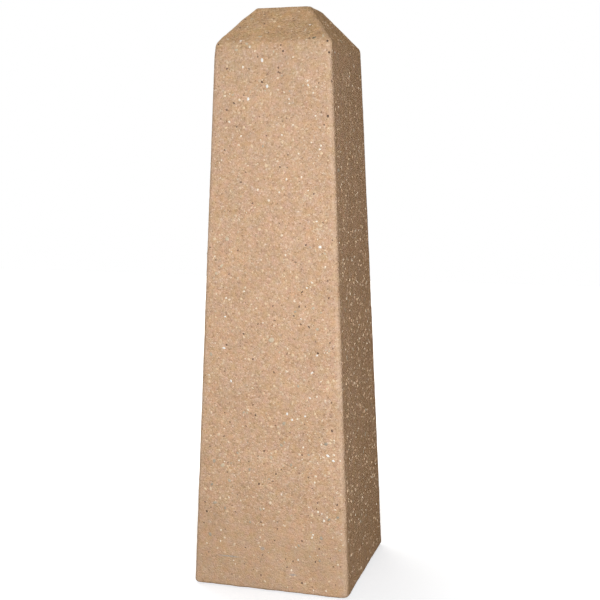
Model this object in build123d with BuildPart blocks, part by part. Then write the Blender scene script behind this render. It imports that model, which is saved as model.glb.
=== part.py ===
"""Obelisk bollard: a tapered square post of cast concrete with a blunt pyramid cap, and the steel socket cast into its base.

The origin is the middle of the base, +Z is up, and the four sides face along X and Y.
"""

import os

from build123d import *

# Sizes of the post in millimetres, taken to the sharp corners before they are rounded
total_height = 914.0
base_width = 257.0
shoulder_width = 189.0
plateau_width = 85.5
cap_height = 57.5

# Rounding that the mould leaves
arris_radius = 7.0
shoulder_radius = 13.0
plateau_edge_radius = 3.0
base_edge_radius = 6.0

# Threaded socket for an anchor rod, closed at its inner end and flush with the base
socket_diameter = 28.6
socket_length = 60.0
socket_bore_diameter = 16.6
socket_bore_depth = 50.0
socket_mouth_chamfer = 1.2

shoulder_height = total_height - cap_height


def half_outline():
    """Right half of the post seen square on, sharp at every corner, with the height along y."""
    return Polyline(
        (0, 0),
        (base_width / 2, 0),
        (shoulder_width / 2, shoulder_height),
        (plateau_width / 2, total_height),
        (0, total_height),
    )


# The post is what two crossed extrusions of one outline share, so all four sides stay alike
with BuildPart() as obelisk_casting:
    for upright_plane, crossing in ((Plane.XZ, Mode.ADD), (Plane.YZ, Mode.INTERSECT)):
        with BuildSketch(upright_plane) as square_on:
            with BuildLine():
                half_outline()
                mirror(about=Plane.YZ)
            make_face()
            shoulders = square_on.vertices().group_by(Axis.Y)[1]
            fillet(shoulders, radius=shoulder_radius)
        extrude(amount=base_width, both=True, mode=crossing)

    # With the shoulder already round, each corner is one smooth run from the ground to the flat top
    corner_runs = obelisk_casting.edges().filter_by(Plane.XY, reverse=True)
    fillet(corner_runs, radius=arris_radius)
    plateau_edge = obelisk_casting.edges().group_by(Axis.Z)[-1]
    fillet(plateau_edge, radius=plateau_edge_radius)
    base_edge = obelisk_casting.edges().group_by(Axis.Z)[0]
    fillet(base_edge, radius=base_edge_radius)

    # Hole that the concrete leaves round the socket
    with BuildSketch(Plane.XY):
        Circle(socket_diameter / 2)
    extrude(amount=socket_length, mode=Mode.SUBTRACT)

with BuildPart() as anchor_socket:
    with BuildSketch(Plane.XY):
        Circle(socket_diameter / 2)
    extrude(amount=socket_length)
    with BuildSketch(Plane.XY):
        Circle(socket_bore_diameter / 2)
    extrude(amount=socket_bore_depth, mode=Mode.SUBTRACT)
    mouth_edge = anchor_socket.edges().group_by(Axis.Z)[0].sort_by(SortBy.RADIUS)[0]
    chamfer(mouth_edge, length=socket_mouth_chamfer)

os.makedirs("parts", exist_ok=True)
for node_name, piece in (("obelisk_casting", obelisk_casting), ("anchor_socket", anchor_socket)):
    piece.part.label = node_name
    export_step(piece.part, f"parts/{node_name}.step")
    print(node_name, "volume", round(piece.part.volume), "mm3, size", piece.part.bounding_box().size)
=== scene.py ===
# %% [markdown]
# # A concrete obelisk bollard
# The real object is one heavy post of tan concrete, cast in a mould and then sandblasted, so that its
# sand and small stones show. The solids come from CAD and are never moved here: this script only dresses
# them. The box of the bare solids is kept, because the dressed object has to stay inside it.

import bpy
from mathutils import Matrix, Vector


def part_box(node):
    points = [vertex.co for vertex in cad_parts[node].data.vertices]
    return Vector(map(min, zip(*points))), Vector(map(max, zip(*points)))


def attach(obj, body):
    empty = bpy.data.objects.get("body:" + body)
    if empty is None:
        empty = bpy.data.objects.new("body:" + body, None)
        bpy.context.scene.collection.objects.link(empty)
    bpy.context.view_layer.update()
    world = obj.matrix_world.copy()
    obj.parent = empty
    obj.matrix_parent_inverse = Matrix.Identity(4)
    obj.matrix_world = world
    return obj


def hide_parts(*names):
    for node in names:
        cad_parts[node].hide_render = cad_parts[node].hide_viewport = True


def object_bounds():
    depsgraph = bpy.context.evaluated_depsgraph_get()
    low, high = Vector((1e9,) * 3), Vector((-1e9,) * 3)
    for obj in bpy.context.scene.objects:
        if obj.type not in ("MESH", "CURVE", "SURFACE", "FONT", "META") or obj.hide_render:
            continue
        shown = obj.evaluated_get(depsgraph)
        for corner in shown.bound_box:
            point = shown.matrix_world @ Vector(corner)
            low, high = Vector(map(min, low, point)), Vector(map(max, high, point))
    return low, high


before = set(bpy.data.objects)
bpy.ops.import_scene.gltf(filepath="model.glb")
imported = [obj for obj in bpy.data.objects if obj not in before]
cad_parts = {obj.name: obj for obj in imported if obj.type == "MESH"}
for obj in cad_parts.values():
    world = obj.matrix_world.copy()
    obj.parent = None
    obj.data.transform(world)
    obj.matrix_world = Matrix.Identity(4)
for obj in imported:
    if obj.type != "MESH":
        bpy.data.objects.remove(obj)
cad_low, cad_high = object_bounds()
print("solids:", sorted(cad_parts), "from", tuple(cad_low), "to", tuple(cad_high))

# %% [markdown]
# ## Camera
# The picture was taken a little to the right of the front face, from about three quarters of the post's
# height. A camera can be placed by eye, but a fit of the post's outline gives its place and lens more
# exactly. The focal length is kept in pixels, because then one number also turns a pixel into a
# direction.

# %% Camera
import math

import bpy
from mathutils import Matrix, Vector

scene = bpy.context.scene
picture_side = 600
focal_length_pixels = 1067.4
eye = Vector((0.5014, -1.6673, 0.6882))
turned_left, tilted_down, rolled = (math.radians(angle) for angle in (16.272, 7.783, -0.203))

camera = bpy.data.objects.new("camera", bpy.data.cameras.new("camera"))
scene.collection.objects.link(camera)
scene.camera = camera
camera.data.lens = camera.data.sensor_width * focal_length_pixels / picture_side
camera.matrix_world = (
    Matrix.Translation(eye)
    @ Matrix.Rotation(turned_left, 4, "Z")
    @ Matrix.Rotation(math.pi / 2 - tilted_down, 4, "X")
    @ Matrix.Rotation(rolled, 4, "Z")
)


def direction_through(pixel):
    """Unit vector from the eye through a pixel of the picture, counted from its top left corner."""
    across, down = pixel
    aim = Vector((across - picture_side / 2, picture_side / 2 - down, -focal_length_pixels))
    return (camera.matrix_world.to_3x3() @ aim).normalized()


picture_middle = (picture_side / 2, picture_side / 2)
print("lens", round(camera.data.lens, 2), "mm, looking along", tuple(direction_through(picture_middle)))

# %% [markdown]
# ## Outline of one side
# All four sides of the post are alike: a long leaning face, a round shoulder, a steep cap and a flat
# top. The solid could be copied and cut up finer, but its triangles are long and thin. Instead a few
# rays measure how its faces lean, and a new outline follows the same lines with many short, even steps.

# %% Measure the solid with rays
from mathutils.bvhtree import BVHTree

casting_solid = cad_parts["obelisk_casting"]
solid_tree = BVHTree.FromObject(casting_solid, bpy.context.evaluated_depsgraph_get())
top = cad_high.z
outside = cad_high.x * 2
shaft_shares, cap_shares = (0.2, 0.8), (0.95, 0.98)


def half_width_at(height):
    """Distance from the axis to the right hand face at a height, read off the solid."""
    hit = solid_tree.ray_cast(Vector((outside, 0, height)), Vector((-1, 0, 0)))[0]
    return hit.x


def face_line(low, high):
    """Half width at the ground and its change with height, for the face between two heights."""
    slope = (half_width_at(high) - half_width_at(low)) / (high - low)
    return half_width_at(low) - slope * low, slope


half_base, shaft_slope = face_line(*(top * share for share in shaft_shares))
cap_start, cap_slope = face_line(*(top * share for share in cap_shares))
shoulder_height = (cap_start - half_base) / (shaft_slope - cap_slope)
half_shoulder = half_base + shaft_slope * shoulder_height
half_plateau = cap_start + cap_slope * top
print("half widths", half_base, half_shoulder, half_plateau, "shoulder at", shoulder_height)

# %% Round the outline
import numpy as np

base_edge_radius, shoulder_radius, plateau_edge_radius = 0.006, 0.013, 0.003
row_step, arc_step = 0.0038, 0.0014
fewest_arc_steps = 3


def unit(vector):
    return vector / np.linalg.norm(vector)


def rounded_outline(corners, radii):
    """Rows of half width, height and lean of the surface, along straight runs joined by arcs."""
    corners = [np.array(corner) for corner in corners]
    runs = [unit(after - before) for before, after in zip(corners, corners[1:])]
    rows = []
    arc_end = None
    for corner, before, after, radius in zip(corners[1:], runs, runs[1:], radii):
        bend = math.acos(before @ after)
        arc_start = corner - before * radius * math.tan(bend / 2)
        outward = np.array((before[1], -before[0]))
        lean = math.atan2(outward[1], outward[0])
        if arc_end is not None:
            count = math.ceil(np.linalg.norm(arc_start - arc_end) / row_step)
            shares = np.linspace(0, 1, count + 1)[1:-1]
            rows += [(*(arc_end + (arc_start - arc_end) * share), lean) for share in shares]
        centre = arc_start - outward * radius
        arc_steps = max(fewest_arc_steps, math.ceil(radius * bend / arc_step))
        for turned in np.linspace(0, bend, arc_steps + 1):
            spoke = np.array((math.cos(lean + turned), math.sin(lean + turned)))
            rows.append((*(centre + spoke * radius), lean + turned))
        arc_end = centre + spoke * radius
    return np.array(rows)


outline = rounded_outline(
    ((0, 0), (half_base, 0), (half_shoulder, shoulder_height), (half_plateau, top), (0, top)),
    (base_edge_radius, shoulder_radius, plateau_edge_radius),
)
print(len(outline), "rows from the ground to the flat top")

# %% [markdown]
# ## Rings
# Each row of the outline becomes a ring: a square with round corners. The corners of the casting are
# rounded as if a ball had been rolled along them, so a level cut through a leaning corner is tighter
# than the ball itself. The rings carry the direction of the surface too, which later moves points in and
# out without any search.

# %% Rings with round corners
arris_radius = 0.007
smallest_level_radius = 0.001
lean_margin = 0.001
shaft_lean, cap_lean = (math.atan(-slope) for slope in (shaft_slope, cap_slope))
cap_end = outline[np.isclose(outline[:, 2], cap_lean), 0].min()
flat_columns, corner_columns = 58, 8
side_columns = flat_columns + corner_columns
columns = 4 * side_columns


def ball_corner_radius(lean):
    """Corner radius in a level cut, where two faces that lean alike meet in a corner rounded by a ball."""
    between_faces = math.acos(math.sin(lean) ** 2)
    lost_at_corner = arris_radius * (1 / math.cos(between_faces / 2) - 1)
    corner_climb = math.atan2(1, math.sqrt(2) * math.tan(lean))
    return lost_at_corner / math.sin(corner_climb) / (math.sqrt(2) - 1)


def level_corner_radius(half, lean):
    """Corner radius of a ring. At the ground and the flat top, the corners shrink with the rings."""
    radius = ball_corner_radius(np.clip(lean, shaft_lean, cap_lean))
    if lean < shaft_lean - lean_margin:
        radius -= half_base - half
    if lean > cap_lean + lean_margin:
        radius -= cap_end - half
    return max(smallest_level_radius, radius)


def ring(half, height, lean):
    """Points and normals of one ring, anticlockwise from the front left, and the way along one side."""
    radius = level_corner_radius(half, lean)
    flat = half - radius
    along = np.linspace(-flat, flat, flat_columns + 1)
    turn = np.linspace(0, math.pi / 2, corner_columns + 1)[1:-1]
    x = np.concatenate((along, flat + radius * np.sin(turn)))
    y = np.concatenate((np.full_like(along, -half), -flat - radius * np.cos(turn)))
    facing = np.concatenate((np.zeros_like(along), turn)) - math.pi / 2
    points, normals = [], []
    for quarter in np.arange(4) * math.pi / 2:
        c, s = math.cos(quarter), math.sin(quarter)
        points.append(np.column_stack((x * c - y * s, x * s + y * c, np.full_like(x, height))))
        level = np.column_stack((np.cos(facing + quarter), np.sin(facing + quarter)))
        normals.append(np.column_stack((level * math.cos(lean), np.full_like(x, math.sin(lean)))))
    strip = np.concatenate((along, flat + radius * turn, (flat + radius * math.pi / 2,)))
    return np.concatenate(points), np.concatenate(normals), strip


side_rings = [ring(*row) for row in outline]
print(len(side_rings), "rings of", columns, "points")

# %% [markdown]
# ## Flat top, underside and seat
# The flat top and the underside close the ends. Both run in rings from the outer edge to a circle in the
# middle: a small one on top, and below the round hole that holds the steel socket. The hole is followed
# upwards and closed, so the skin is one watertight mesh.

# %% Close the ends
socket_low, socket_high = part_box("anchor_socket")
socket_radius = (socket_high.x - socket_low.x) / 2
socket_length = socket_high.z - socket_low.z
top_middle_radius = 0.002
end_rings = 14


def towards_circle(edge_ring, radius, share):
    """Ring that lies a share of the way from an edge ring to a circle of that radius about the axis."""
    level = edge_ring[:, :2]
    circle = level / np.linalg.norm(level, axis=1)[:, None] * radius
    return np.column_stack((level + (circle - level) * share, edge_ring[:, 2]))


end_shares = np.linspace(0, 1, end_rings + 1)[1:]
top_rings = [towards_circle(side_rings[-1][0], top_middle_radius, share) for share in end_shares]
under_rings = [towards_circle(side_rings[0][0], socket_radius, share) for share in end_shares]
seat_end = under_rings[-1] + (0, 0, socket_length)
print(len(top_rings), "rings on top,", len(under_rings), "below and a seat", socket_length, "deep")

# %% [markdown]
# ## Stack
# The rings are stacked into one grid of four-sided faces: from the end of the seat, out over the
# underside, up the sides and in over the top. A map for baking is laid out at the same time, with the
# four sides next to each other at one scale, so that the fine sand keeps its detail when the finish is
# baked.

# %% Stack the rings
up, down, nowhere = np.array((0, 0, 1.0)), np.array((0, 0, -1.0)), np.zeros(3)
stack = [(seat_end, nowhere)]
stack += [(under_ring, down) for under_ring in reversed(under_rings)]
first_side_row = len(stack)
stack += [(points, normals) for points, normals, strip in side_rings]
last_side_row = len(stack) - 1
stack += [(top_ring, up) for top_ring in top_rings]

skin_points = np.concatenate([points for points, normals in stack])
skin_normals = np.concatenate([np.broadcast_to(normals, (columns, 3)) for points, normals in stack])
face_rows = np.repeat(np.arange(len(stack) - 1), columns)
face_columns = np.tile(np.arange(columns), len(stack) - 1)
corner_rows = face_rows[:, None] + (0, 0, 1, 1)
corner_steps = face_columns[:, None] + (0, 1, 1, 0)
skin_faces = corner_rows * columns + corner_steps % columns
print(len(skin_points), "points and", len(skin_faces), "faces")

# %% Lay out the map of the sides
side_map_scale = 0.94
side_map_low, side_map_high = 0.105, 0.995
strips = np.array([strip for points, normals, strip in side_rings])
climb = np.concatenate(((0,), np.cumsum(np.linalg.norm(np.diff(outline[:, :2], axis=0), axis=1))))

side = face_columns // side_columns
past_corner = face_columns % side_columns >= flat_columns + corner_columns // 2
ring_at = np.clip(corner_rows - first_side_row, 0, len(side_rings) - 1)
along = strips[ring_at, corner_steps - side[:, None] * side_columns]
along = np.where(past_corner[:, None], along - strips[ring_at, -1] + strips[ring_at, 0], along)
map_across = ((side + past_corner)[:, None] % 4 + 0.5) / 4 + along * side_map_scale
map_up = side_map_low + climb[ring_at] / climb[-1] * (side_map_high - side_map_low)
skin_map = np.stack((map_across, map_up), -1)
print("a metre of side takes", side_map_scale, "of the map's width")

# %% Lay out the map of the ends
end_map_side = 0.088
top_map_left, under_map_left, end_map_low = 0.01, 0.12, 0.008
seat_map_share = 0.5


def end_map(places, half, left):
    """Map places of level faces, seen from above, in a small square at the foot of the map."""
    return np.array((left, end_map_low)) + (places[..., :2] / half + 1) / 2 * end_map_side


map_places = skin_points.copy()
map_places[:columns] *= seat_map_share
under, over = face_rows < first_side_row, face_rows >= last_side_row
skin_map[under] = end_map(map_places[skin_faces[under]], half_base, under_map_left)
skin_map[over] = end_map(map_places[skin_faces[over]], half_plateau, top_map_left)
first_ring, last_ring = np.arange(columns)[::-1], np.arange(columns) + (len(stack) - 1) * columns
lid_maps = [end_map(map_places[first_ring], half_base, under_map_left)]
lid_maps.append(end_map(map_places[last_ring], half_plateau, top_map_left))
print(under.sum(), "faces of the underside and", over.sum(), "of the top are on the map")

# %% [markdown]
# ## Wear and unevenness
# A mould is never quite flat: it leaves waves and lumps of under a millimetre. Sandblasting then eats
# the paste between the stones, and the corners lose a little more. A displacement modifier could do
# this, but smooth noise in Python can tell the corners from the flats, and so keeps the corners
# straight. One corner also leans a few millimetres, and a few spots are worn or full, as the picture
# shows, because the mould was not quite true.

# %% Sizes of the unevenness
warp_heights = (0, shoulder_height, top)
warp_at_heights = (0, -0.0028, 0.0016)
mould_wave, mould_wave_size = 0.00022, 0.085
wide_lump, wide_lump_size = 0.00085, 0.042
small_lump, small_lump_size = 0.00048, 0.016
blast_depth, blast_size = 0.00024, 0.0082
arris_loss, arris_loss_size, arris_loss_bias = 0.0005, 0.024, 0.25
chip_depth, chip_size = 0.0004, 0.0095
calm_reach, calm_shares = (0.004, 0.03), (0.15, 1)
hip_share = 0.68
hip_half = half_shoulder + (half_plateau - half_shoulder) * hip_share
hip_height = shoulder_height + (top - shoulder_height) * hip_share
uneven_spots = (
    ("worn left shoulder", Vector((-half_shoulder, -half_shoulder, shoulder_height)), 0.011, 0.0019),
    ("full left hip", Vector((-hip_half, -hip_half, hip_height)), 0.016, -0.0010),
    ("worn near foot", Vector((half_base, -half_base, 0)), 0.010, 0.0022),
    ("worn right foot", Vector((half_base, 0, 0)), 0.090, 0.0010),
)
print("uneven spots:", [name for name, spot, reach, depth in uneven_spots])

# %% Loss at a point
from mathutils import noise

mould_seed, blast_seed, arris_seed, chip_seed, wide_seed, small_seed = range(1, 7)
seed_steps = (7.3, 3.1, 5.7)


def to_corner(place):
    """Distance along the face from a place to the nearest upright corner of the post."""
    return abs(abs(place.x) - abs(place.y))


def uneven(place, size, seed):
    """Smooth noise between -1 and 1 with bumps of about this size."""
    return noise.noise(place / size + Vector([seed * step for step in seed_steps]))


def loss(place, arris):
    """How far the surface at a point lies inside the ideal shape."""
    lost = mould_wave * uneven(place, mould_wave_size, mould_seed)
    lost += blast_depth * uneven(place, blast_size, blast_seed)
    lumps = wide_lump * uneven(place, wide_lump_size, wide_seed)
    lumps += small_lump * uneven(place, small_lump_size, small_seed)
    lost += lumps * np.interp(to_corner(place), calm_reach, calm_shares)
    lost += arris * arris_loss * max(0, arris_loss_bias + uneven(place, arris_loss_size, arris_seed))
    lost += arris * chip_depth * max(0, uneven(place, chip_size, chip_seed))
    for name, spot, reach, depth in uneven_spots:
        lost += depth * math.exp(-((place - spot).length / reach) ** 2)
    return lost


print("loss in the middle of the right foot:", loss(Vector((half_base, 0, 0)), 0))

# %% [markdown]
# ### Moving the points
# The points move along the stored normals. The rings of the socket's seat stay level, and the whole skin
# is kept a quarter of a millimetre inside the box of the solids, so that the stones have room to stand
# out of it.

# %% Move the points
seat_rings = 2
stone_room = 0.00025

corner_turn = np.clip(np.arange(side_columns) - flat_columns, 0, None) / corner_columns
one_side_arris = np.sin(math.pi * corner_turn)
row_is_side = (np.arange(len(stack)) >= first_side_row) & (np.arange(len(stack)) <= last_side_row)
arris_share = np.outer(row_is_side, np.tile(one_side_arris, 4)).ravel()
losses = np.array([loss(Vector(place), arris) for place, arris in zip(skin_points, arris_share)])
half_widths = np.repeat([points[:, 0].max() for points, normals in stack], columns)
near_corner = (1 + skin_points[:, 0] / half_widths) * (1 - skin_points[:, 1] / half_widths) / 4
skin_points[:, 0] += near_corner * np.interp(skin_points[:, 2], warp_heights, warp_at_heights)
losses[:seat_rings * columns] = 0
skin_points -= skin_normals * losses[:, None]
room_low, room_high = np.array(cad_low) + (stone_room, stone_room, 0), np.array(cad_high) - stone_room
skin_points = np.clip(skin_points, room_low, room_high)
print("losses from", losses.min(), "to", losses.max())

# %% [markdown]
# ## Skin of the casting
# The mesh is made from the arrays in one call. Three values travel with its points for the finish: how
# near a point is to an arris, where blasting leaves the concrete paler and a highlight is painted, whether
# it belongs to the trowelled underside, and how deep it lies in an air hole, which the next step fills in
# and the finish darkens with painted shade.

# %% Make the skin
neighbour_share = 0.35


def new_piece(name, points, faces, bake_map=None):
    """Mesh object from arrays, smooth, riding on the one body of the object."""
    mesh = bpy.data.meshes.new(name)
    mesh.from_pydata(points, (), faces)
    mesh.shade_smooth()
    if bake_map is not None:
        mesh.uv_layers.new(name="OFBake").data.foreach_set("uv", bake_map.ravel())
    piece = bpy.data.objects.new(name, mesh)
    scene.collection.objects.link(piece)
    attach(piece, "root")
    return piece


def point_values(piece, name, values):
    piece.data.attributes.new(name, "FLOAT", "POINT").data.foreach_set("value", values)


all_faces = skin_faces.tolist() + [first_ring.tolist(), last_ring.tolist()]
whole_map = np.concatenate((skin_map.reshape(-1, 2), *lid_maps))
casting_skin = new_piece("casting_skin", skin_points.tolist(), all_faces, whole_map)
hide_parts("obelisk_casting")

three_sides = np.tile(one_side_arris > 0, 3)
spread = np.convolve(three_sides, (neighbour_share, 1, neighbour_share), "same")
spread = spread[side_columns:2 * side_columns]
near_arris = np.outer(row_is_side, np.tile(np.clip(spread, 0, 1), 4)).ravel()
point_values(casting_skin, "near_arris", near_arris)
point_values(casting_skin, "underside", np.repeat(np.arange(len(stack)) < first_side_row + 1, columns))
point_values(casting_skin, "air_hole", np.zeros(len(skin_points)))
for polygon in casting_skin.data.polygons[:columns]:
    polygon.use_smooth = False
casting_skin.data.polygons[len(skin_faces)].use_smooth = False
print("skin with", len(casting_skin.data.polygons), "faces")

# %% [markdown]
# ## Air holes
# Air trapped against the mould leaves small round holes. Painted holes look flat from the side, so the
# skin is cut finer around each one and pushed in. A few are where the picture shows them, and the rest
# are spread by chance.

# %% Choose places on the skin
def skin_tree():
    return BVHTree.FromObject(casting_skin, bpy.context.evaluated_depsgraph_get())


def place_at(tree, pixel):
    """Point and normal of the surface that the picture shows at a pixel."""
    place, normal, *rest = tree.ray_cast(eye, direction_through(pixel))
    return place, normal


seed = 20
chance = np.random.default_rng(seed)
lowest_stone = 0.009
bare_heights, bare_shares = (0.09, 0.14, 0.80, 0.84), (0.38, 1, 1, 0.5)
right_foot_share = 0.75


def places_by_chance(count):
    """Points and normals by chance on the sides, cap and flat top, fewer at the foot and on the cap."""
    mesh = casting_skin.data
    areas, sizes = (np.zeros(len(mesh.polygons)) for _ in range(2))
    mesh.polygons.foreach_get("area", areas)
    mesh.polygons.foreach_get("loop_total", sizes)
    centres = np.zeros(len(mesh.polygons) * 3)
    mesh.polygons.foreach_get("center", centres)
    heights = centres[2::3]
    bare = np.interp(heights, bare_heights, bare_shares)
    right_foot = (centres[0::3] > np.abs(centres[1::3])) & (heights < bare_heights[1])
    areas *= np.where(right_foot, np.maximum(bare, right_foot_share), bare)
    areas[(sizes != 4) | (heights < lowest_stone)] = 0
    places = []
    for index in chance.choice(len(areas), count, p=areas / areas.sum()):
        a, b, c, d = (mesh.vertices[corner].co for corner in mesh.polygons[index].vertices)
        across, along = chance.random(2)
        place = a.lerp(b, across).lerp(d.lerp(c, across), along)
        places.append((place, mesh.polygons[index].normal.copy()))
    return places


air_hole_pixels = ((327.4, 40.5), (329.3, 52.3), (332.4, 81), (327.6, 116), (218, 44.3))
air_hole_count = 46
smallest_air_hole, largest_air_hole = 0.0009, 0.0019
lowest_air_hole = 0.05
plain_skin = skin_tree()
air_holes = [(*place_at(plain_skin, pixel), largest_air_hole) for pixel in air_hole_pixels]
for place, normal in places_by_chance(air_hole_count):
    radius = chance.uniform(smallest_air_hole, largest_air_hole)
    if place.z > lowest_air_hole:
        air_holes.append((place, normal, radius))
print(len(air_holes), "air holes")

# %% Cut and push in the air holes
import bmesh
from mathutils.kdtree import KDTree

air_hole_cuts = 5
air_hole_depth_share = 1.1
cut_margin = row_step * 0.75


def tree_of_points(mesh_edit):
    tree = KDTree(len(mesh_edit.verts))
    for vertex in mesh_edit.verts:
        tree.insert(vertex.co, vertex.index)
    tree.balance()
    return tree


skin_edit = bmesh.new()
skin_edit.from_mesh(casting_skin.data)
skin_edit.verts.ensure_lookup_table()
around = tree_of_points(skin_edit)
edges_to_cut = set()
for place, normal, radius in air_holes:
    for found, index, distance in around.find_range(place, radius + cut_margin):
        edges_to_cut.update(skin_edit.verts[index].link_edges)
bmesh.ops.subdivide_edges(skin_edit, edges=list(edges_to_cut), cuts=air_hole_cuts, use_grid_fill=True)

skin_edit.verts.index_update()
skin_edit.verts.ensure_lookup_table()
around = tree_of_points(skin_edit)
air_hole_layer = skin_edit.verts.layers.float["air_hole"]
for place, normal, radius in air_holes:
    for found, index, distance in around.find_range(place, radius):
        share = math.sqrt(1 - (distance / radius) ** 2)
        skin_edit.verts[index].co -= normal * radius * air_hole_depth_share * share
        skin_edit.verts[index][air_hole_layer] = share
skin_edit.to_mesh(casting_skin.data)
skin_edit.free()
triangles = sum(len(polygon.vertices) - 2 for polygon in casting_skin.data.polygons)
print("skin with air holes:", triangles, "triangles")

# %% [markdown]
# ## Stones
# Blasting lays bare stones of a few millimetres: white quartz, dark chips, grey green pebbles and buff
# ones. Each is a small closed pebble with its lower part sunk in the skin. They could be instances of
# one stone, but each has its own outline here, and all stones of a kind are joined in one mesh, which is
# light and easy to bake.

# %% Shape of a pebble
pebble_sides, pebble_bands = 9, 3
pebble_bottom = 1 + pebble_bands * pebble_sides
pebble_polar = np.radians((0, 42, 76, 112, 180))
pebble_tilt = 0.12
long_shares, wide_shares, rough_shares = (1, 1.3), (0.7, 1), (0.84, 1.12)


def pebble_faces():
    """Faces of one pebble: a fan on top, two bands and a fan below."""
    steps = range(pebble_sides)
    rings_at = [[1 + band * pebble_sides + step for step in steps] for band in range(pebble_bands)]
    faces = []
    for step in steps:
        after = (step + 1) % pebble_sides
        faces.append((0, rings_at[0][step], rings_at[0][after]))
        for upper, lower in zip(rings_at, rings_at[1:]):
            faces.append((upper[step], lower[step], lower[after], upper[after]))
        faces.append((pebble_bottom, rings_at[-1][after], rings_at[-1][step]))
    return faces


def pebble_points(place, normal, radius, rise):
    """Points of one pebble that lies on its flat side in the skin and stands out of it by its rise."""
    slope = unit(np.array(normal) + chance.normal(0, pebble_tilt, 3))
    first = unit(np.cross(slope, chance.normal(size=3)))
    second = np.cross(slope, first)
    long, wide = radius * chance.uniform(*long_shares), radius * chance.uniform(*wide_shares)
    turn = np.arange(pebble_sides) / pebble_sides * 2 * math.pi
    rough = chance.uniform(*rough_shares, pebble_sides)
    points = [slope * rise]
    for polar in pebble_polar[1:-1]:
        depth = math.cos(polar) * (rise if polar < math.pi / 2 else radius)
        for angle, factor in zip(turn, rough):
            out = math.sin(polar) * factor
            level = first * math.cos(angle) * long + second * math.sin(angle) * wide
            points.append(slope * depth + level * out)
    points.append(-slope * radius)
    return np.clip(np.array(points) + np.array(place), cad_low, cad_high)


print(len(pebble_faces()), "faces on a pebble")

# %% Map of a pebble
disc_reach = 0.47
last_band = pebble_bands + 1


def band_of(index):
    """Band that a pebble's point belongs to, from its top to its bottom."""
    if index == pebble_bottom:
        return last_band
    return (index + pebble_sides - 1) // pebble_sides


def pebble_map(cell, cells):
    """Map places of one pebble's face corners: a disc in its own cell, with the top in the middle."""
    reach = disc_reach / cells
    middle = (np.array((cell % cells, cell // cells)) + 0.5) / cells
    places = []
    for face in pebble_faces():
        steps = [(index - 1) % pebble_sides for index in face if 0 < index < pebble_bottom]
        start = min(steps) if max(steps) - min(steps) < 2 else max(steps)
        for index in face:
            band = band_of(index)
            step = start + 0.5 if band in (0, last_band) else (index - 1) % pebble_sides
            angle = step / pebble_sides * 2 * math.pi
            out = pebble_polar[band] / math.pi * reach
            places.append(middle + out * np.array((math.cos(angle), math.sin(angle))))
    return places


print(len(pebble_map(0, 1)), "face corners on the map of a pebble")

# %% [markdown]
# ### Stones near an edge
# A stone that stands out of a corner would make a pimple on the outline, and the picture shows none.
# Near the corners of the post only small stones stay, ground flush with the concrete. At the foot, where
# the mould was smoother, and towards the cap, they stand out less than in between.

# %% Size and rise of a stone
small_stone_reach, small_stone_shares = (0.005, 0.013), (0.45, 1)
flush_reach, flush_shares = (0.006, 0.017), (0.08, 1)
rise_heights, rise_shares = (0.09, 0.14, 0.55, 0.80), (0.75, 1, 1, 0.5)


def size_kept(place):
    """Share of its size that a stone keeps: only small ones stay in a round corner."""
    return np.interp(to_corner(place), small_stone_reach, small_stone_shares)


def rise_kept(place):
    """Share of its rise that a stone keeps: near a corner of the post blasting has ground it flush."""
    kept = np.interp(to_corner(place), flush_reach, flush_shares)
    return kept * np.interp(place.z, rise_heights, rise_shares)


middle_of_face = Vector((half_shoulder, 0, shoulder_height / 2))
print("in the middle of a face a stone keeps", size_kept(middle_of_face), "of its size")

# %% [markdown]
# ### Stones that the picture shows
# The stones that catch the eye are laid where the picture shows them: a ray through the pixel finds the
# place on the skin. They come first, so that the stones laid by chance later have to keep clear of them.

# %% Stones at chosen pixels
final_skin = skin_tree()
size_range = (0.8, 1.2)


def chosen_stones(pixels, radius, darkest=0.0, palest=1.0):
    """Stones of about one size at the pixels where the picture shows them."""
    stones = []
    for pixel in pixels:
        tint = chance.uniform(darkest, palest)
        stones.append((*place_at(final_skin, pixel), radius * chance.uniform(*size_range), tint))
    return stones


print("the middle of the picture shows", tuple(place_at(final_skin, picture_middle)[0]))

# %% White quartz in the picture
brightest_pixels = ((262, 60), (267, 86), (248, 99), (320, 247), (287, 414), (328, 456))
bright_pixels = (
    (225, 316.5), (224, 348), (231, 381), (317, 355.5), (312, 373), (305, 416.5), (292, 420),
    (333.5, 461),
)
white_pixels = (
    (241, 136), (243, 67), (250, 47), (308, 85), (284, 92), (289, 99), (313, 93), (293, 125), (282, 135),
    (293, 57), (279, 192), (320, 149), (226, 298), (307, 288), (301, 319), (209, 375), (215, 343),
    (239, 219), (310, 398), (313, 535), (298, 560), (343, 545), (207, 543), (326, 591), (310, 24.7),
    (241, 41), (335, 52.4), (334, 455), (322, 514), (318, 512),
)
cream_pixels = (
    (340, 461), (310, 461.5), (319.5, 455), (302, 459.5), (274, 521), (220, 492.5), (221, 530),
    (341.5, 534), (260, 546.5), (313.5, 590.5), (287.5, 587.5), (340.5, 495), (336.5, 493), (340, 479),
    (224.5, 461.5),
)
quartz_chosen = chosen_stones(brightest_pixels, radius=0.0026, darkest=0.95)
quartz_chosen += chosen_stones(bright_pixels, radius=0.0021, darkest=0.85)
quartz_chosen += chosen_stones(white_pixels, radius=0.0017, darkest=0.4, palest=0.9)
quartz_chosen += chosen_stones(cream_pixels, radius=0.0014, darkest=0.2, palest=0.7)
print(len(quartz_chosen), "white stones chosen")

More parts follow.
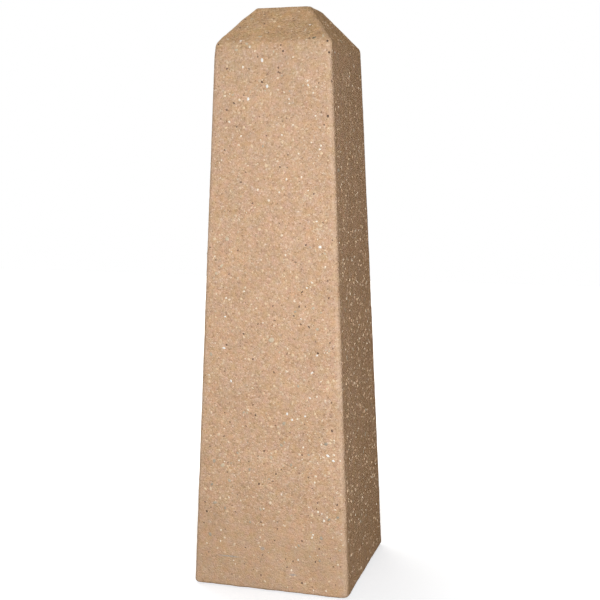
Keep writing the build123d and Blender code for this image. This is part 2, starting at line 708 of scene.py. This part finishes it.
# %% Dark chips in the picture
dark_pixels = (
    (283, 51), (278, 68), (278, 72), (258, 57), (262, 82), (244, 95), (234, 103), (227, 110), (227, 69),
    (249, 69), (281, 45), (237, 127), (225, 150), (280, 167), (314, 194), (324, 125), (238, 250),
    (306, 245), (302, 292), (273, 306), (329, 298), (229, 274), (210, 247), (258, 324), (294, 316),
    (309, 327), (330, 343), (253, 359), (205, 502), (211, 507), (224, 436), (210, 446), (276, 474),
    (273, 481), (259, 484), (319, 549), (302, 541), (287, 567), (302, 583), (232, 574), (209, 552),
    (261, 522), (332, 431), (251, 413), (230, 422), (246, 426), (264.5, 14.4), (264.5, 23.9), (245, 19),
    (240, 28), (309.5, 37.7), (331.5, 402.5), (278, 522),
)
small_dark_pixels = (
    (249, 461.5), (227.5, 472), (237.5, 494.5), (204, 522.5), (277.5, 529), (225.5, 529), (245.5, 547.5),
    (216, 556), (262.5, 555), (320, 542), (253.5, 569.5), (244.5, 563.5), (333.5, 567), (340.5, 567),
    (292, 588), (312, 587), (335.5, 585), (312.5, 488.5),
)
dark_chosen = chosen_stones(dark_pixels, radius=0.0016, palest=0.25)
dark_chosen += chosen_stones(small_dark_pixels, radius=0.0012, palest=0.5)
print(len(dark_chosen), "dark chips chosen")

# %% Grey green pebbles in the picture
grey_pixels = ((326, 444), (212, 484), (225, 508), (210, 534), (338, 518), (329, 520), (322, 538))
pale_grey_pixels = (
    (236.5, 49.4), (249.7, 47.1), (252.5, 18.4), (260.5, 36.2), (304.8, 29.9), (322.6, 35.6), (314, 308),
    (227, 239), (222, 266), (216, 273),
)
soft_grey_pixels = (
    (244, 412), (308.5, 455), (249.5, 469.5), (229.5, 480.5), (298.5, 545.5), (339.5, 551), (291, 465),
    (320, 560.5),
)
dark_grey_pixels = ((314.4, 37.7),)
grey_chosen = chosen_stones(grey_pixels, radius=0.0028, darkest=0.3, palest=0.6)
grey_chosen += chosen_stones(pale_grey_pixels, radius=0.0034, darkest=0.75)
grey_chosen += chosen_stones(soft_grey_pixels, radius=0.0024, darkest=0.5, palest=0.75)
grey_chosen += chosen_stones(dark_grey_pixels, radius=0.0034, palest=0.05)
print(len(grey_chosen), "grey green pebbles chosen")

# %% [markdown]
# ### Stones by chance
# The rest are laid by chance with a fixed seed, each only where it finds room between those already
# there. Small ones are more common than large ones. Most are buff, close to the colour of the sand, and
# give the face its grain. Fewer lie on the cap and at the foot, though the picture shows more of them at
# the foot of the right side.

# %% Lay the stones of one kind
small_stones_bias = 1.7
stones_so_far = np.array([(*stone[0], stone[2]) for stone in quartz_chosen + dark_chosen + grey_chosen])


def has_room(place, radius):
    """Whether a stone of this size fits between the stones laid so far."""
    gaps = np.linalg.norm(stones_so_far[:, :3] - np.array(place), axis=1) - stones_so_far[:, 3]
    return gaps.min() > radius


def stones_by_chance(count, smallest, largest, darkest=0.0, palest=1.0):
    """As many stones as find room, out of a count of places."""
    global stones_so_far
    stones = []
    for place, normal in places_by_chance(count):
        radius = (smallest + (largest - smallest) * chance.random() ** small_stones_bias) * size_kept(place)
        if has_room(place, radius):
            stones_so_far = np.vstack((stones_so_far, (*place, radius)))
            stones.append((place, normal, radius, chance.uniform(darkest, palest)))
    return stones


def pebbles(name, stones, rises):
    """One mesh of all stones of a kind, each with its own tint."""
    points, faces, places, tints = [], [], [], []
    cells = math.ceil(math.sqrt(len(stones)))
    for number, (place, normal, radius, tint) in enumerate(stones):
        faces += [[len(points) + index for index in face] for face in pebble_faces()]
        places += pebble_map(number, cells)
        tints += [tint] * (pebble_bottom + 1)
        rise = radius * chance.uniform(*rises) * rise_kept(place)
        points += pebble_points(place, normal, radius, rise).tolist()
    piece = new_piece(name, points, faces, np.array(places))
    point_values(piece, "tint", tints)
    triangles = sum(len(polygon.vertices) - 2 for polygon in piece.data.polygons)
    print(name, len(stones), "stones with", triangles, "triangles")
    return piece


print(len(stones_so_far), "stones chosen in the picture")

# %% Quartz, dark chips, grey and buff pebbles
quartz = quartz_chosen + stones_by_chance(count=1000, smallest=0.0008, largest=0.0023, palest=0.75)
quartz_grains = pebbles("quartz_grains", quartz, rises=(0.2, 0.45))
dark = dark_chosen + stones_by_chance(count=560, smallest=0.0007, largest=0.0018)
dark_chips = pebbles("dark_chips", dark, rises=(0.16, 0.3))
grey = grey_chosen + stones_by_chance(count=200, smallest=0.0016, largest=0.0044, darkest=0.55)
grey_pebbles = pebbles("grey_pebbles", grey, rises=(0.05, 0.15))
buff = stones_by_chance(count=3700, smallest=0.0013, largest=0.0030)
buff_pebbles = pebbles("buff_pebbles", buff, rises=(0.24, 0.57))
print(len(stones_so_far), "stones in all")

# %% [markdown]
# ## Shader maths
# A finish is a net of nodes, and sums drawn as boxes are hard to read. This class holds one output
# socket, so that a sum on it, such as 1 - mask, adds the Math nodes by itself. Every other node comes
# from one method.

# %% A wire between nodes
class Wire:
    """An output socket of a shader tree, with operators that add Math nodes."""

    def __init__(self, tree, socket=None):
        self.tree = tree
        self.socket = socket

    def __getitem__(self, output):
        return Wire(self.tree, self.socket.node.outputs[output])

    def node(self, kind, settings=None, sockets=None, output=0):
        """Any node: its settings come first, then the values or wires of its sockets. Gives one output."""
        made = self.tree.nodes.new(kind)
        for name, value in (settings or {}).items():
            if name == "stops":
                while len(made.color_ramp.elements) < len(value):
                    made.color_ramp.elements.new(1)
                for element, (place, colour) in zip(made.color_ramp.elements, value):
                    element.position = place
                    element.color = (*colour, 1)
            else:
                setattr(made, name, value)
        for name, value in (sockets or {}).items():
            if isinstance(value, Wire):
                self.tree.links.new(value.socket, made.inputs[name])
            else:
                made.inputs[name].default_value = value
        return Wire(self.tree, made.outputs[output] if len(made.outputs) else None)

    def math(self, operation, *values):
        return self.node("ShaderNodeMath", {"operation": operation}, dict(enumerate(values)))

    def __add__(self, other):
        return self.math("ADD", self, other)

    def __sub__(self, other):
        return self.math("SUBTRACT", self, other)

    def __rsub__(self, other):
        return self.math("SUBTRACT", other, self)

    def __mul__(self, other):
        return self.math("MULTIPLY", self, other)

    __radd__ = __add__
    __rmul__ = __mul__


print("operators:", [name for name in vars(Wire) if name.startswith("__")])

# %% Helpers for colours
def blended(share, first, second):
    """Colour that goes from the first to the second as the share goes from 0 to 1."""
    wire = first if isinstance(first, Wire) else share
    first, second = ((*colour, 1) if isinstance(colour, tuple) else colour for colour in (first, second))
    return wire.node("ShaderNodeMix", {"data_type": "RGBA"}, {0: share, 6: first, 7: second}, 2)


def toned(colour, tone):
    """Colour made lighter or darker by a value around 1."""
    settings = {"data_type": "RGBA", "blend_type": "MULTIPLY"}
    return colour.node("ShaderNodeMix", settings, {0: 1.0, 6: colour, 7: tone}, 2)


def scaled(vector, factors, offsets):
    """Each part of a vector or colour times its own factor, plus its own offset."""
    settings = {"operation": "MULTIPLY_ADD"}
    return vector.node("ShaderNodeVectorMath", settings, {0: vector, 1: factors, 2: offsets})


def ramp(value, *stops):
    return value.node("ShaderNodeValToRGB", {"stops": stops}, {"Fac": value})


print("colour helpers:", [helper.__name__ for helper in (blended, toned, scaled, ramp)])

# %% Helpers for patterns
noise_middle = 0.5


def smooth_step(value, low, high):
    settings = {"interpolation_type": "SMOOTHSTEP"}
    return value.node("ShaderNodeMapRange", settings, {"Value": value, "From Min": low, "From Max": high})


def clouds(place, size, detail=2.0):
    """Smooth noise around 0.5 with patches of about this size in metres."""
    sockets = {"Vector": place, "Scale": 1 / size, "Detail": detail}
    return place.node("ShaderNodeTexNoise", None, sockets)


def grains(place, size):
    """Cells of about this size: the distance to a cell's middle, and a value drawn for each cell."""
    cells = place.node("ShaderNodeTexVoronoi", None, {"Vector": place, "Scale": 1 / size})
    return cells, cells.node("ShaderNodeSeparateColor", None, {"Color": cells["Color"]})


def carried(place, name):
    """The value of this name that travels with the points of the mesh."""
    return place.node("ShaderNodeAttribute", {"attribute_name": name}, output="Fac")


print("pattern helpers:", [helper.__name__ for helper in (smooth_step, clouds, grains, carried)])

# %% Helpers for materials
def new_finish(name):
    """An empty material, a wire to start from and the object's own coordinates."""
    material = bpy.data.materials.new(name)
    material.use_nodes = True
    material.node_tree.nodes.clear()
    start = Wire(material.node_tree)
    return material, start.node("ShaderNodeTexCoord", output="Object")


def finished(place, sockets):
    """Ends a material in one shader with these sockets."""
    shader = place.node("ShaderNodeBsdfPrincipled", None, sockets)
    place.node("ShaderNodeOutputMaterial", None, {"Surface": shader})


def bumped(height, depth):
    return height.node("ShaderNodeBump", None, {"Height": height, "Distance": depth, "Strength": 1.0})


print("material helpers:", [helper.__name__ for helper in (new_finish, finished, bumped)])

# %% [markdown]
# ## Blasted concrete
# Close up, the surface is sand: grains from umber to cream, each with one colour, in a tan paste. Noise
# alone would give soft clouds, so cells of two sizes each draw their colour from a ramp of sand colours.
# The paste hides a part of them, and more of them in a smoother band at the foot.

# %% Sand in paste
coarse_sand, fine_sand, fine_sand_share = 0.0026, 0.0013, 0.5
sand_colours = (
    (0.00, (0.23, 0.138, 0.088)),
    (0.05, (0.40, 0.268, 0.174)),
    (0.16, (0.54, 0.379, 0.261)),
    (0.40, (0.62, 0.448, 0.319)),
    (0.66, (0.68, 0.497, 0.360)),
    (0.88, (0.76, 0.578, 0.434)),
    (1.00, (0.95, 0.860, 0.750)),
)
paste_colour = (0.645, 0.468, 0.334)
paste_share, foot_paste_share = 0.22, 0.36
foot_heights = (0.09, 0.14)
foot_wave, foot_wave_size = 0.06, 0.06


def smooth_foot(place, height):
    """1 on the smoother band at the foot, which ends in a wavy line, and 0 above it."""
    wave = foot_wave * (clouds(place, foot_wave_size) - noise_middle)
    return 1 - smooth_step(height + wave, *foot_heights)


def sand_in_paste(coarse_draw, fine_draw, foot):
    """Grains of two sizes in the paste that binds them."""
    sand = blended(fine_sand_share, ramp(coarse_draw, *sand_colours), ramp(fine_draw, *sand_colours))
    return blended(paste_share + foot_paste_share * foot, sand, paste_colour)


print(len(sand_colours), "colours of sand")

# %% [markdown]
# ### Hue and tone
# No two patches of concrete have quite the same colour. Noise with separate red, green and blue parts
# shifts the hue over a centimetre, and wider clouds shift the tone. The cap is more mottled than the
# sides. A ramp over the height paints shade that makes the foot a little darker and paints a warmer,
# yellower light on the cap, as the picture shows.

# %% Hue and tone
hue_size, hue_spread, hue_least = 0.010, (0.20, 0.0, 0.36), (0.91, 0.97, 0.765)
patch_size = 0.022
patch_hues = (
    (0.30, (1.00, 0.955, 0.915)),
    (0.50, (0.995, 0.970, 0.955)),
    (0.70, (0.990, 0.985, 0.985)),
)
tone_size, tone_least, tone_spread = 0.05, 0.85, 0.30
cap_starts_below, cap_full_above = 0.004, 0.010
cap_foot, cap_full = shoulder_height - cap_starts_below, shoulder_height + cap_full_above
cap_mottle_size, cap_mottle = 0.016, 0.5
# Painted light by height: painted shade darkens the foot, and a painted warm light yellows the cap.
painted_light_by_height = (
    (0.00, (0.935, 0.935, 0.920)),
    (0.10, (0.955, 0.955, 0.940)),
    (0.27, (0.995, 0.985, 0.970)),
    (0.70, (0.990, 0.985, 0.980)),
    (0.92, (0.975, 0.985, 0.990)),
    (0.95, (0.968, 0.958, 0.850)),
)


def mottled_and_shaded_by_height(colour, place, height):
    """Changes of hue and tone over the post, with painted shade that darkens the foot and a painted yellow
    light on the cap.
    """
    colour = toned(colour, scaled(clouds(place, hue_size)["Color"], hue_spread, hue_least))
    colour = toned(colour, ramp(clouds(place, patch_size), *patch_hues))
    colour = toned(colour, tone_least + tone_spread * clouds(place, tone_size, detail=4))
    cap = smooth_step(height, cap_foot, cap_full)
    mottle = clouds(place, cap_mottle_size, detail=3) - noise_middle
    colour = toned(colour, 1 + cap_mottle * cap * mottle)
    # painted shade at the foot and painted light on the cap, by height
    return toned(colour, ramp(height * (1 / top), *painted_light_by_height))


print("the cap's own mottling starts at", cap_foot)

# %% [markdown]
# ### Scuffs, corners and holes
# Handling has left three faint grey scuffs near the foot. Each is a soft spot around a point of the
# surface, longer along the face than it is high, and broken up by noise. Corners are paler where
# blasting bit deeper, and also carry a painted highlight along the arris. Air holes are darkened with
# painted shade, and the underside, which was trowelled and not cast against a mould, is a smooth grey.

# %% Scuffs
scuff_colour = (0.43, 0.43, 0.44)
scuff_least, scuff_spread, scuff_grain = 0.40, 0.5, 0.004
scuff_core = 0.3
scuffs = (
    ("long scuff", (229, 556), (0.0260, 0.010, 0.0019)),
    ("smudge", (262.5, 548.5), (0.0050, 0.010, 0.0040)),
    ("grey patch", (293, 575), (0.0080, 0.010, 0.0028)),
)


def scuff_mask(place, centre, reach):
    """A soft spot on the surface, 1 in its middle, that fades to 0 at its reach along each axis."""
    factors = [1 / length for length in reach]
    offsets = [-middle / length for middle, length in zip(centre, reach)]
    from_middle = scaled(place, factors, offsets)
    distance = place.node("ShaderNodeVectorMath", {"operation": "LENGTH"}, {0: from_middle}, "Value")
    return 1 - smooth_step(distance, scuff_core, 1.0)


def scuffed(colour, place):
    for name, pixel, reach in scuffs:
        mask = scuff_mask(place, place_at(final_skin, pixel)[0], reach)
        share = mask * (scuff_least + scuff_spread * clouds(place, scuff_grain))
        colour = blended(share, colour, scuff_colour)
    return colour


print("scuffs:", [name for name, pixel, reach in scuffs])

# %% Corners, underside and holes
# Corners: paler from blasting wear, and partly a painted highlight along the arris.
worn_and_highlight_colour, worn_and_highlight_share = (0.74, 0.575, 0.450), 0.45
worn_and_highlight_size, worn_and_highlight_edges = 0.02, (0.3, 0.7)
trowelled_colour, trowelled_share = (0.52, 0.45, 0.37), 0.7
# Air holes: painted shade darkens their hollows.
hole_shade_colour, hole_shade_share, hole_shade_edges = (0.05, 0.035, 0.03), 0.85, (0.1, 0.8)


def marks_and_painted_light(colour, place):
    """Worn corners with a painted highlight, scuffs, the trowelled underside and air holes darkened with
    painted shade.
    """
    # worn corners, partly a painted highlight along the arris
    worn = worn_and_highlight_share * carried(place, "near_arris") * smooth_step(clouds(place, worn_and_highlight_size), *worn_and_highlight_edges)
    colour = scuffed(blended(worn, colour, worn_and_highlight_colour), place)
    colour = blended(trowelled_share * carried(place, "underside"), colour, trowelled_colour)
    # painted shade inside the air holes
    return blended(hole_shade_share * smooth_step(carried(place, "air_hole"), *hole_shade_edges), colour, hole_shade_colour)


print("corners take up to", worn_and_highlight_share, "of the worn colour")

# %% [markdown]
# ### Relief
# The grains, and the hollows between them, are far too small for the mesh, so a bump gives them. The
# same cells that colour the sand raise it, and wider noise adds the hollows that blasting leaves, which
# show most where light grazes.

# %% Concrete
coarse_relief, fine_relief = 1.5, 0.5
pit_relief, pit_size = 1.0, 0.005
hollow_relief, hollow_size = 2.2, 0.014
relief_depth = 0.0007
smooth_underside, smoothed_foot = 0.7, 0.1
least_roughness, roughness_spread = 0.82, 0.14
concrete_gloss = 0.2


def blasted_concrete():
    material, place = new_finish("blasted_concrete")
    height = place.node("ShaderNodeSeparateXYZ", None, {"Vector": place}, "Z")
    coarse, coarse_draw = grains(place, coarse_sand)
    fine, fine_draw = grains(place, fine_sand)
    foot = smooth_foot(place, height)
    colour = sand_in_paste(coarse_draw, fine_draw, foot)
    relief = coarse_relief * (1 - coarse) + fine_relief * (1 - fine)
    relief = relief + pit_relief * clouds(place, pit_size, detail=3)
    relief = relief + hollow_relief * clouds(place, hollow_size)
    relief = relief * (1 - smooth_underside * carried(place, "underside")) * (1 - smoothed_foot * foot)
    finished(place, {
        "Base Color": marks_and_painted_light(mottled_and_shaded_by_height(colour, place, height), place),
        "Roughness": least_roughness + roughness_spread * fine_draw,
        "Specular IOR Level": concrete_gloss,
        "Normal": bumped(relief, relief_depth),
    })
    return material


casting_skin.data.materials.append(blasted_concrete())
print("concrete:", len(casting_skin.data.materials[0].node_tree.nodes), "nodes")

# %% [markdown]
# ## Stone colours
# Every stone carries one drawn value, its tint, and a ramp turns that into its colour, so no two stones
# are alike. A little noise inside each stone keeps it from looking painted. Quartz is a bit glossier
# than the rest.

# %% Finish of a stone
vein_least, vein_spread = 0.8, 0.4
gloss_spread = 0.4
stone_relief = 0.0002
stone_gloss = 0.3


def bare_stone(name, vein_size, roughness, colours):
    material, place = new_finish(name)
    stops = [(index / (len(colours) - 1), colour) for index, colour in enumerate(colours)]
    colour = ramp(carried(place, "tint"), *stops)
    finished(place, {
        "Base Color": toned(colour, vein_least + vein_spread * clouds(place, vein_size, detail=3)),
        "Roughness": roughness + gloss_spread * (clouds(place, vein_size) - noise_middle),
        "Specular IOR Level": stone_gloss,
        "Normal": bumped(clouds(place, vein_size / 2, detail=3), stone_relief),
    })
    return material


print("a stone's own noise changes its tone by", vein_spread)

# %% Colours of the stones
quartz_colours = ((0.72, 0.57, 0.43), (0.84, 0.71, 0.56), (0.91, 0.82, 0.70), (0.92, 0.94, 0.95))
dark_colours = ((0.12, 0.078, 0.056), (0.23, 0.145, 0.10), (0.32, 0.22, 0.15), (0.28, 0.155, 0.095))
grey_colours = ((0.17, 0.145, 0.100), (0.33, 0.30, 0.25), (0.50, 0.43, 0.34), (0.67, 0.57, 0.43))
buff_colours = (
    (0.62, 0.43, 0.29), (0.66, 0.48, 0.34), (0.71, 0.53, 0.37), (0.82, 0.65, 0.46), (0.72, 0.57, 0.43),
    (0.60, 0.44, 0.31),
)
stone_finishes = (
    (quartz_grains, "white_quartz", 0.0015, 0.45, quartz_colours),
    (dark_chips, "dark_stone", 0.0012, 0.6, dark_colours),
    (grey_pebbles, "grey_green_stone", 0.002, 0.65, grey_colours),
    (buff_pebbles, "buff_stone", 0.002, 0.75, buff_colours),
)
for piece, name, vein_size, roughness, colours in stone_finishes:
    piece.data.materials.append(bare_stone(name, vein_size, roughness, colours))
print("stone finishes:", [material.name for material in bpy.data.materials])

# %% [markdown]
# ## Anchor socket
# A steel sleeve is cast into the base, with a thread for the rod that holds the post down. The solid has
# a plain bore. Here the thread is cut for real: each ring of the bore follows a ridge that climbs with
# the angle.

# %% Rings of the socket
bore_radius, thread_depth, thread_pitch = 0.0083, 0.0012, 0.00254
bore_depth = 0.05
mouth_chamfer, outer_chamfer = 0.0012, 0.0004
groove_width, groove_steepness, half_turn = 1.25, 3, 0.5
run_out_turns, run_out_end = 4, 0.5
rim_share = 0.85
socket_sides, rows_per_turn, sleeve_rows = 64, 8, 13
around_socket = np.arange(socket_sides) / socket_sides * 2 * math.pi


def thread_radius(height):
    """Radius of the bore at a height, all round: a cone at the mouth, then ridges, plain at the end."""
    phase = (height / thread_pitch + around_socket / (2 * math.pi)) % 1
    groove = np.clip(groove_width - np.abs(phase - half_turn) * groove_steepness, 0, 1)
    fade = np.clip((bore_depth - height) / (run_out_turns * thread_pitch) - run_out_end, 0, 1)
    return np.maximum(bore_radius + thread_depth * groove * fade, bore_radius + mouth_chamfer - height)


thread_rows = np.linspace(bore_depth, 0, round(bore_depth / thread_pitch * rows_per_turn) + 1)
socket_rings = [(thread_radius(height), height) for height in thread_rows]
socket_rings += [(socket_radius * rim_share, 0), (socket_radius - outer_chamfer, 0)]
sleeve_heights = np.linspace(outer_chamfer, socket_length, sleeve_rows)
socket_rings += [(socket_radius, height) for height in sleeve_heights]
print(len(thread_rows), "rows of thread in", len(socket_rings), "rings")

# %% Socket with a thread
sharp_angle = math.radians(35)
socket_points = []
for radius, height in socket_rings:
    level = np.column_stack((np.cos(around_socket), np.sin(around_socket))) * np.reshape(radius, (-1, 1))
    socket_points += np.column_stack((level, np.full(socket_sides, height))).tolist()
socket_faces = []
for row in range(len(socket_rings) - 1):
    for step in range(socket_sides):
        low, high = row * socket_sides, (row + 1) * socket_sides
        after = (step + 1) % socket_sides
        socket_faces.append((low + step, high + step, high + after, low + after))
last = (len(socket_rings) - 1) * socket_sides
socket_faces += [list(range(socket_sides)), list(range(last, last + socket_sides))[::-1]]
anchor_ferrule = new_piece("anchor_ferrule", socket_points, socket_faces)
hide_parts("anchor_socket")
anchor_ferrule.data.set_sharp_from_angle(angle=sharp_angle)
print("socket with", len(socket_faces), "faces")

# %% [markdown]
# ### Zinc
# The sleeve is galvanised, so it is a mottled grey metal, and some mortar of the casting sticks to it.
# One noise gives the mottling of the zinc, and another decides where it is mortar instead of metal.

# %% Zinc on steel
spangle_size, mortar_size, mortar_edges = 0.003, 0.008, (0.52, 0.66)
zinc_colours = ((0.3, (0.38, 0.39, 0.40)), (0.7, (0.62, 0.63, 0.64)))
mortar_colour = (0.50, 0.44, 0.36)
zinc_roughness, spangle_roughness, mortar_roughness = 0.35, 0.2, 0.35
zinc_relief = 0.0001


def zinc_steel():
    material, place = new_finish("zinc_steel")
    spangle = clouds(place, spangle_size, detail=3)
    mortar = smooth_step(clouds(place, mortar_size, detail=4), *mortar_edges)
    finished(place, {
        "Base Color": blended(mortar, ramp(spangle, *zinc_colours), mortar_colour),
        "Metallic": 1 - mortar,
        "Roughness": zinc_roughness + spangle_roughness * spangle + mortar_roughness * mortar,
        "Normal": bumped(spangle + mortar, zinc_relief),
    })
    return material


anchor_ferrule.data.materials.append(zinc_steel())
print("socket finish:", anchor_ferrule.data.materials[0].name)

# %% [markdown]
# ## Light
# In the picture the near face is bright and even and the right one dim and warm, and the foot is darker
# than the shoulder. A soft lamp close to the camera explains all of that, with a dim warm surrounding.
# The surrounding is brighter in one broad spot behind, to the left and above, so that the far sides and
# the flat top can be seen as well. It could be a second lamp, but a glow in the world is softer and
# needs no place of its own.

# %% Lamp
scene.view_settings.view_transform = "Standard"
key_power, key_diameter = 26.0, 0.3
key = bpy.data.objects.new("soft_key", bpy.data.lights.new("soft_key", "AREA"))
scene.collection.objects.link(key)
key.matrix_world = camera.matrix_world
key.data.shape = "DISK"
key.data.size = key_diameter
key.data.energy = key_power
key.visible_camera = False
print("key at", tuple(key.location), key_power, "W")

# %% Surroundings
ambient_colour = (0.131, 0.0850, 0.0215)
far_side_light = (3.30, 2.98, 2.58)
far_side_focus = 6.0
far_side = Vector((-0.62, 0.74, 0.60)).normalized()


def seen_by_eye(start):
    """1 on a ray that comes from the camera, or from it by way of a mirror or glass, and otherwise 0."""
    ray = start.node("ShaderNodeLightPath", output="Is Camera Ray")
    return start.math("MINIMUM", ray + ray["Is Glossy Ray"] + ray["Is Transmission Ray"], 1.0)


def surroundings():
    """Warm ambient light, brighter from behind, with plain white where the camera looks past the object."""
    world = bpy.data.worlds.new("surroundings")
    world.use_nodes = True
    world.node_tree.nodes.clear()
    start = Wire(world.node_tree)
    towards = start.node("ShaderNodeTexCoord", output="Generated")
    settings, sockets = {"operation": "DOT_PRODUCT"}, {0: towards, 1: far_side}
    nearness = towards.node("ShaderNodeVectorMath", settings, sockets, "Value")
    glow = nearness.math("POWER", nearness.math("MAXIMUM", nearness, 0.0), far_side_focus)
    tint = scaled(glow, far_side_light, ambient_colour)
    ambient = tint.node("ShaderNodeBackground", None, {"Color": tint})
    white = start.node("ShaderNodeBackground", None, {"Color": (1, 1, 1, 1)})
    mixed = start.node("ShaderNodeMixShader", None, {0: seen_by_eye(start), 1: ambient, 2: white})
    mixed.node("ShaderNodeOutputWorld", None, {"Surface": mixed})
    return world


scene.world = surroundings()
print("world:", scene.world.name)

# %% [markdown]
# ## Floor
# The post stands on a plain pale floor that ends in white, with no line where it ends. A shadow catcher
# would do that too, but it leaves a dark fringe along the edges of the post. So the floor is a matt
# surface with a glow that only the eye and reflections get: a part of white close to the post, where the
# shade still shows, and all of it far away. The floor throws no light back on the post, because the
# picture shows none there.

# %% Floor
floor_half = 4.0
floor_drop = 0.0004
floor_mesh = bpy.data.meshes.new("floor")
floor_signs = ((-1, -1), (1, -1), (1, 1), (-1, 1))
floor_corners = [(x * floor_half, y * floor_half, -floor_drop) for x, y in floor_signs]
floor_mesh.from_pydata(floor_corners, (), [(0, 1, 2, 3)])
floor = bpy.data.objects.new("floor", floor_mesh)
scene.collection.objects.link(floor)
floor.visible_diffuse = False
print("floor", 2 * floor_half, "m wide")

# %% Pale finish of the floor
floor_tones = ((0.3, (0.60, 0.67, 0.77)), (0.7, (0.64, 0.71, 0.81)))
near_glow, far_glow = (0.55, 0.55, 0.56), (1.0, 1.0, 1.0)
glow_reach = (0.22, 0.9)
floor_cloud_size, floor_roughness, floor_gloss = 0.5, 0.9, 0.1


def pale_floor():
    material, place = new_finish("pale_floor")
    distance = place.node("ShaderNodeVectorMath", {"operation": "LENGTH"}, {0: place}, "Value")
    glow = blended(smooth_step(distance, *glow_reach), near_glow, far_glow)
    finished(place, {
        "Base Color": ramp(clouds(place, floor_cloud_size), *floor_tones),
        "Roughness": floor_roughness,
        "Specular IOR Level": floor_gloss,
        "Emission Color": toned(glow, seen_by_eye(place)),
        "Emission Strength": 1.0,
    })
    return material


floor_mesh.materials.append(pale_floor())
print("floor finish:", floor_mesh.materials[0].name)

# %% [markdown]
